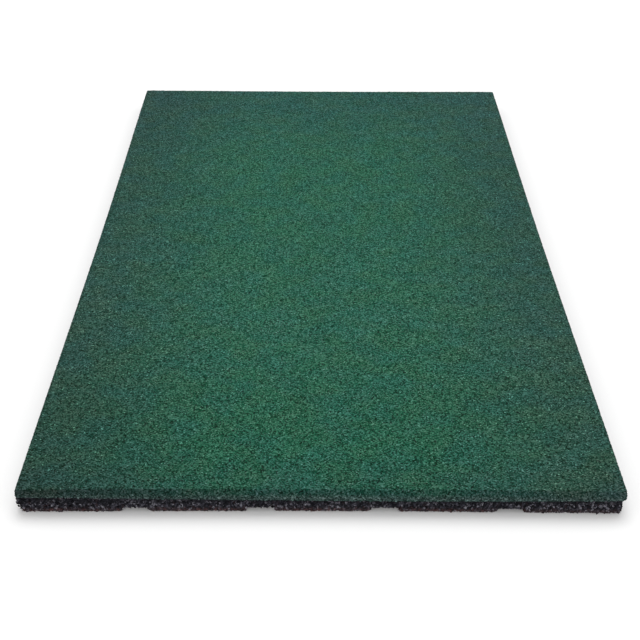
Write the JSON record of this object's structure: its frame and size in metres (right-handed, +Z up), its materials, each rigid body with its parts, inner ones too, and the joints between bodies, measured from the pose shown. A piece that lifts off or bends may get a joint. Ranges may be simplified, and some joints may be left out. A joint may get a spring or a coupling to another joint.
{
  "type": "rubber safety mat",
  "caption": "Rectangular rubber granulate safety mat: a green wear layer on a black base with drainage channels underneath.",
  "frame": {"origin": "centre of the mat, on the floor that its feet stand on", "axes": "+Z up through the wear layer, +Y along the mat and its channels, +X across the mat"},
  "size_m": [0.5, 1, 0.025],
  "materials": {
    "green_granulate": "matte",
    "black_granulate": "matte"
  },
  "bodies": {
    "root": {"wear_layer": "green_granulate", "base_layer": "black_granulate"}
  },
  "joints": []
}
